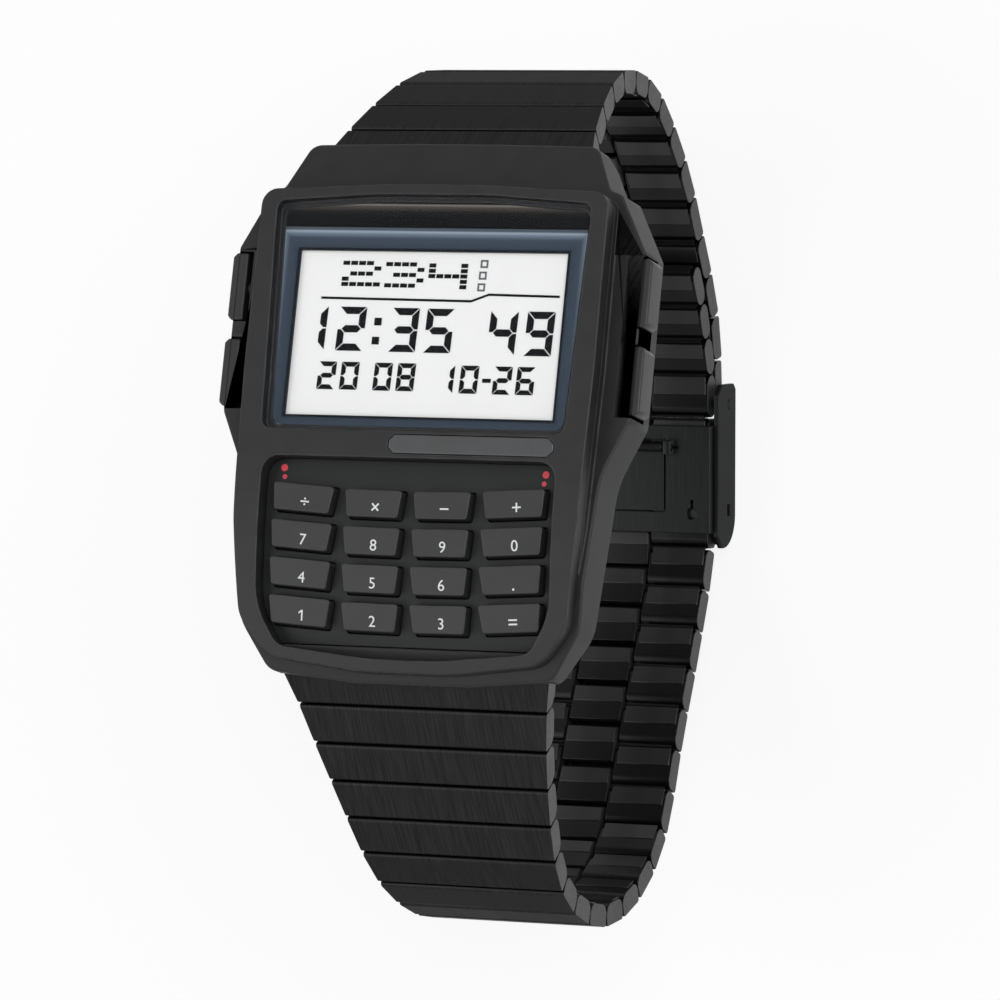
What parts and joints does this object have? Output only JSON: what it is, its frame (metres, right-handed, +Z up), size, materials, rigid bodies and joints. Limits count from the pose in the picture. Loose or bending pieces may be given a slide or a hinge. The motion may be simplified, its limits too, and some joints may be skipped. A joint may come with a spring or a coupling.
{
  "type": "calculator wristwatch",
  "caption": "Digital calculator wristwatch: liquid-crystal panel, pressable keypad and side pushers in a moulded case on a tapering folded-link bracelet with a sliding clasp.",
  "frame": {"origin": "middle of the clasp cover's flat outer face, on which the closed watch stands", "axes": "+Z up from the clasp through the wrist opening, +Y towards 12 o'clock, +X towards 3 o'clock; the dial leans 14 degrees towards +Y"},
  "size_m": [0.0374, 0.0723, 0.0535],
  "materials": {
    "case_plastic": "fine satin texture",
    "rim_plastic": "satin",
    "crystal_glass": "polished",
    "mask_print": "printed, satin",
    "lcd_pale": "smooth",
    "lcd_dark": "smooth",
    "reflector_foil": "satin foil",
    "elastomer": "smooth",
    "frame_plastic": "smooth",
    "board_green": "solder mask",
    "cell_steel": "satin",
    "spring_steel": "drawn",
    "buzzer_brass": "satin",
    "keypad_black": "fine texture",
    "key_plastic": "satin",
    "membrane_rubber": "smooth",
    "plate_gloss": "glossy",
    "back_steel": "brushed",
    "gasket_rubber": "smooth",
    "screw_steel": "turned",
    "link_steel": "black plated, brushed along the bracelet",
    "slider_steel": "black plated, satin"
  },
  "bodies": {
    "head": {"case_middle": "case_plastic", "bezel": "rim_plastic", "crystal": "crystal_glass", "display_mask": "mask_print", "lcd_panel": "lcd_pale", "lcd_segments": "lcd_dark", "lcd_reflector": "reflector_foil", "zebra_connectors": "elastomer", "module_frame": "frame_plastic", "circuit_board": "board_green", "battery": "cell_steel", "battery_clip": "spring_steel", "buzzer_disc": "buzzer_brass", "keypad_plate": "keypad_black", "keypad_membrane": "membrane_rubber", "name_plate": "plate_gloss", "case_back": "back_steel", "back_gasket": "gasket_rubber", "back_screws": "screw_steel", "spring_bars": "spring_steel", "pusher_springs": "spring_steel"},
    "pusher_upper_left": {"pusher_upper_left": "case_plastic"},
    "pusher_lower_left": {"pusher_lower_left": "case_plastic"},
    "pusher_upper_right": {"pusher_upper_right": "case_plastic"},
    "pusher_lower_right": {"pusher_lower_right": "case_plastic"},
    "key_divide": {"key_divide": "key_plastic"},
    "key_multiply": {"key_multiply": "key_plastic"},
    "key_minus": {"key_minus": "key_plastic"},
    "key_plus": {"key_plus": "key_plastic"},
    "key_7": {"key_7": "key_plastic"},
    "key_8": {"key_8": "key_plastic"},
    "key_9": {"key_9": "key_plastic"},
    "key_0": {"key_0": "key_plastic"},
    "key_4": {"key_4": "key_plastic"},
    "key_5": {"key_5": "key_plastic"},
    "key_6": {"key_6": "key_plastic"},
    "key_point": {"key_point": "key_plastic"},
    "key_1": {"key_1": "key_plastic"},
    "key_2": {"key_2": "key_plastic"},
    "key_3": {"key_3": "key_plastic"},
    "key_equals": {"key_equals": "key_plastic"},
    "upper_strap_1": {"upper_strap_1": "link_steel"},
    "upper_strap_2": {"upper_strap_2": "link_steel"},
    "upper_strap_3": {"upper_strap_3": "link_steel"},
    "upper_strap_4": {"upper_strap_4": "link_steel"},
    "upper_strap_5": {"upper_strap_5": "link_steel"},
    "upper_strap_6": {"upper_strap_6": "link_steel"},
    "upper_strap_7": {"upper_strap_7": "link_steel"},
    "lower_strap_1": {"lower_strap_1": "link_steel"},
    "lower_strap_2": {"lower_strap_2": "link_steel"},
    "lower_strap_3": {"lower_strap_3": "link_steel"},
    "lower_strap_4": {"lower_strap_4": "link_steel"},
    "lower_strap_5": {"lower_strap_5": "link_steel"},
    "lower_strap_6": {"lower_strap_6": "link_steel"},
    "lower_strap_7": {"lower_strap_7": "link_steel"},
    "lower_strap_8": {"lower_strap_8": "link_steel"},
    "strap_tail": {"strap_tail": "link_steel"},
    "clasp_cover": {"clasp_cover": "link_steel"},
    "clasp_slider": {"clasp_slider": "slider_steel"},
    "lock_plate": {"lock_plate": "slider_steel"}
  },
  "joints": [
    {"name": "key_divide_press", "type": "slide", "parent": "head", "child": "key_divide", "axis": [0, -0.2419, -0.9703], "range_m": [0, 0.0005], "stiffness_N_per_m": 1200},
    {"name": "key_multiply_press", "type": "slide", "parent": "head", "child": "key_multiply", "axis": [0, -0.2419, -0.9703], "range_m": [0, 0.0005], "stiffness_N_per_m": 1200},
    {"name": "key_minus_press", "type": "slide", "parent": "head", "child": "key_minus", "axis": [0, -0.2419, -0.9703], "range_m": [0, 0.0005], "stiffness_N_per_m": 1200},
    {"name": "key_plus_press", "type": "slide", "parent": "head", "child": "key_plus", "axis": [0, -0.2419, -0.9703], "range_m": [0, 0.0005], "stiffness_N_per_m": 1200},
    {"name": "key_7_press", "type": "slide", "parent": "head", "child": "key_7", "axis": [0, -0.2419, -0.9703], "range_m": [0, 0.0005], "stiffness_N_per_m": 1200},
    {"name": "key_8_press", "type": "slide", "parent": "head", "child": "key_8", "axis": [0, -0.2419, -0.9703], "range_m": [0, 0.0005], "stiffness_N_per_m": 1200},
    {"name": "key_9_press", "type": "slide", "parent": "head", "child": "key_9", "axis": [0, -0.2419, -0.9703], "range_m": [0, 0.0005], "stiffness_N_per_m": 1200},
    {"name": "key_0_press", "type": "slide", "parent": "head", "child": "key_0", "axis": [0, -0.2419, -0.9703], "range_m": [0, 0.0005], "stiffness_N_per_m": 1200},
    {"name": "key_4_press", "type": "slide", "parent": "head", "child": "key_4", "axis": [0, -0.2419, -0.9703], "range_m": [0, 0.0005], "stiffness_N_per_m": 1200},
    {"name": "key_5_press", "type": "slide", "parent": "head", "child": "key_5", "axis": [0, -0.2419, -0.9703], "range_m": [0, 0.0005], "stiffness_N_per_m": 1200},
    {"name": "key_6_press", "type": "slide", "parent": "head", "child": "key_6", "axis": [0, -0.2419, -0.9703], "range_m": [0, 0.0005], "stiffness_N_per_m": 1200},
    {"name": "key_point_press", "type": "slide", "parent": "head", "child": "key_point", "axis": [0, -0.2419, -0.9703], "range_m": [0, 0.0005], "stiffness_N_per_m": 1200},
    {"name": "key_1_press", "type": "slide", "parent": "head", "child": "key_1", "axis": [0, -0.2419, -0.9703], "range_m": [0, 0.0005], "stiffness_N_per_m": 1200},
    {"name": "key_2_press", "type": "slide", "parent": "head", "child": "key_2", "axis": [0, -0.2419, -0.9703], "range_m": [0, 0.0005], "stiffness_N_per_m": 1200},
    {"name": "key_3_press", "type": "slide", "parent": "head", "child": "key_3", "axis": [0, -0.2419, -0.9703], "range_m": [0, 0.0005], "stiffness_N_per_m": 1200},
    {"name": "key_equals_press", "type": "slide", "parent": "head", "child": "key_equals", "axis": [0, -0.2419, -0.9703], "range_m": [0, 0.0005], "stiffness_N_per_m": 1200},
    {"name": "pusher_upper_left_press", "type": "slide", "parent": "head", "child": "pusher_upper_left", "axis": [1, 0, 0], "range_m": [0, 0.0004], "stiffness_N_per_m": 1800},
    {"name": "pusher_lower_left_press", "type": "slide", "parent": "head", "child": "pusher_lower_left", "axis": [1, 0, 0], "range_m": [0, 0.0004], "stiffness_N_per_m": 1800},
    {"name": "pusher_upper_right_press", "type": "slide", "parent": "head", "child": "pusher_upper_right", "axis": [-1, 0, 0], "range_m": [0, 0.0004], "stiffness_N_per_m": 1800},
    {"name": "pusher_lower_right_press", "type": "slide", "parent": "head", "child": "pusher_lower_right", "axis": [-1, 0, 0], "range_m": [0, 0.0004], "stiffness_N_per_m": 1800},
    {"name": "upper_strap_swing", "type": "hinge", "parent": "head", "child": "upper_strap_1", "pos_m": [0, 0.02552, 0.04139], "axis": [1, 0, 0], "range_deg": [0, 10]},
    {"name": "upper_strap_2_fold", "type": "hinge", "parent": "upper_strap_1", "child": "upper_strap_2", "pos_m": [0, 0.03151, 0.03138], "axis": [1, 0, 0], "range_deg": [0, 9.8]},
    {"name": "upper_strap_3_fold", "type": "hinge", "parent": "upper_strap_2", "child": "upper_strap_3", "pos_m": [0, 0.0326, 0.02373], "axis": [1, 0, 0], "range_deg": [0, 10.16]},
    {"name": "upper_strap_4_fold", "type": "hinge", "parent": "upper_strap_3", "child": "upper_strap_4", "pos_m": [0, 0.03052, 0.01627], "axis": [1, 0, 0], "range_deg": [0, 15.48]},
    {"name": "upper_strap_5_fold", "type": "hinge", "parent": "upper_strap_4", "child": "upper_strap_5", "pos_m": [0, 0.02532, 0.01049], "axis": [1, 0, 0], "range_deg": [0, 7.4]},
    {"name": "upper_strap_6_fold", "type": "hinge", "parent": "upper_strap_5", "child": "upper_strap_6", "pos_m": [0, 0.01879, 0.00623], "axis": [1, 0, 0], "range_deg": [0, 4]},
    {"name": "upper_strap_7_fold", "type": "hinge", "parent": "upper_strap_6", "child": "upper_strap_7", "pos_m": [0, 0.01191, 0.00257], "axis": [1, 0, 0], "range_deg": [0, 13.58]},
    {"name": "lower_strap_swing", "type": "hinge", "parent": "head", "child": "lower_strap_1", "pos_m": [0, -0.01489, 0.05003], "axis": [1, 0, 0], "range_deg": [0, 5]},
    {"name": "lower_strap_2_fold", "type": "hinge", "parent": "lower_strap_1", "child": "lower_strap_2", "pos_m": [0, -0.03124, 0.04088], "axis": [1, 0, 0], "range_deg": [0, 5]},
    {"name": "lower_strap_3_fold", "type": "hinge", "parent": "lower_strap_2", "child": "lower_strap_3", "pos_m": [0, -0.03593, 0.03512], "axis": [1, 0, 0], "range_deg": [0, 5]},
    {"name": "lower_strap_4_fold", "type": "hinge", "parent": "lower_strap_3", "child": "lower_strap_4", "pos_m": [0, -0.03791, 0.02794], "axis": [1, 0, 0], "range_deg": [0, 5]},
    {"name": "lower_strap_5_fold", "type": "hinge", "parent": "lower_strap_4", "child": "lower_strap_5", "pos_m": [0, -0.03659, 0.02061], "axis": [1, 0, 0], "range_deg": [0, 5]},
    {"name": "lower_strap_6_fold", "type": "hinge", "parent": "lower_strap_5", "child": "lower_strap_6", "pos_m": [0, -0.03213, 0.01469], "axis": [1, 0, 0], "range_deg": [0, 5]},
    {"name": "lower_strap_7_fold", "type": "hinge", "parent": "lower_strap_6", "child": "lower_strap_7", "pos_m": [0, -0.02542, 0.01137], "axis": [1, 0, 0], "range_deg": [0, 5]},
    {"name": "lower_strap_8_fold", "type": "hinge", "parent": "lower_strap_7", "child": "lower_strap_8", "pos_m": [0, -0.0085, 0.00335], "axis": [1, 0, 0], "range_deg": [0, 5]},
    {"name": "strap_tail_fold", "type": "hinge", "parent": "lower_strap_8", "child": "strap_tail", "pos_m": [0, 0.0069, 0.00335], "axis": [1, 0, 0], "range_deg": [0, 3]},
    {"name": "clasp_cover_hinge", "type": "hinge", "parent": "upper_strap_7", "child": "clasp_cover", "pos_m": [0, 0.0042, 0.00145], "axis": [1, 0, 0], "range_deg": [0, 95]},
    {"name": "clasp_slider_slide", "type": "slide", "parent": "lower_strap_8", "child": "clasp_slider", "axis": [0, 1, 0], "range_m": [0, 0.00385]},
    {"name": "lock_plate_hinge", "type": "hinge", "parent": "clasp_slider", "child": "lock_plate", "pos_m": [0, 0.0005, 0.0051], "axis": [-1, 0, 0], "range_deg": [0, 40]}
  ],
  "couplings": [
    {"joint": "upper_strap_2_fold", "follows": "upper_strap_swing", "ratio": 0.98},
    {"joint": "upper_strap_3_fold", "follows": "upper_strap_swing", "ratio": 1.016},
    {"joint": "upper_strap_4_fold", "follows": "upper_strap_swing", "ratio": 1.548},
    {"joint": "upper_strap_5_fold", "follows": "upper_strap_swing", "ratio": 0.74},
    {"joint": "upper_strap_6_fold", "follows": "upper_strap_swing", "ratio": 0.4},
    {"joint": "upper_strap_7_fold", "follows": "upper_strap_swing", "ratio": 1.358},
    {"joint": "lower_strap_2_fold", "follows": "lower_strap_swing", "ratio": 1},
    {"joint": "lower_strap_3_fold", "follows": "lower_strap_swing", "ratio": 1},
    {"joint": "lower_strap_4_fold", "follows": "lower_strap_swing", "ratio": 1},
    {"joint": "lower_strap_5_fold", "follows": "lower_strap_swing", "ratio": 1},
    {"joint": "lower_strap_6_fold", "follows": "lower_strap_swing", "ratio": 1},
    {"joint": "lower_strap_7_fold", "follows": "lower_strap_swing", "ratio": 1},
    {"joint": "lower_strap_8_fold", "follows": "lower_strap_swing", "ratio": 1},
    {"joint": "strap_tail_fold", "follows": "lower_strap_swing", "ratio": 0.6}
  ]
}
